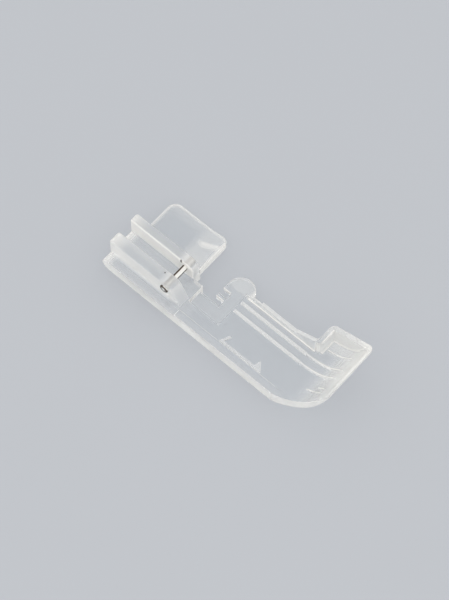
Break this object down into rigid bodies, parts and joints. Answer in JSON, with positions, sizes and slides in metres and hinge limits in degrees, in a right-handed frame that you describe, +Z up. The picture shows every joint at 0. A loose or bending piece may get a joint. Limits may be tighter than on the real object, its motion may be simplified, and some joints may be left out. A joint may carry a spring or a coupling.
{
  "type": "sewing machine presser foot",
  "caption": "Clear moulded overlock presser foot: ankle ribs with a steel cross pin, needle window, knife cut-out, seam flap and a curled, ridged toe.",
  "frame": {"origin": "middle of the foot's footprint, on the plane of the sole", "axes": "+X from heel to toe, +Y from the guide edge to the knife side, +Z up from the sole"},
  "size_m": [0.0542, 0.0196, 0.0109],
  "materials": {
    "clear_plastic": "clear moulded gloss with milky edges",
    "pin_steel": "bright drawn steel"
  },
  "bodies": {
    "root": {"foot_body": "clear_plastic", "cross_pin": "pin_steel"}
  },
  "joints": []
}
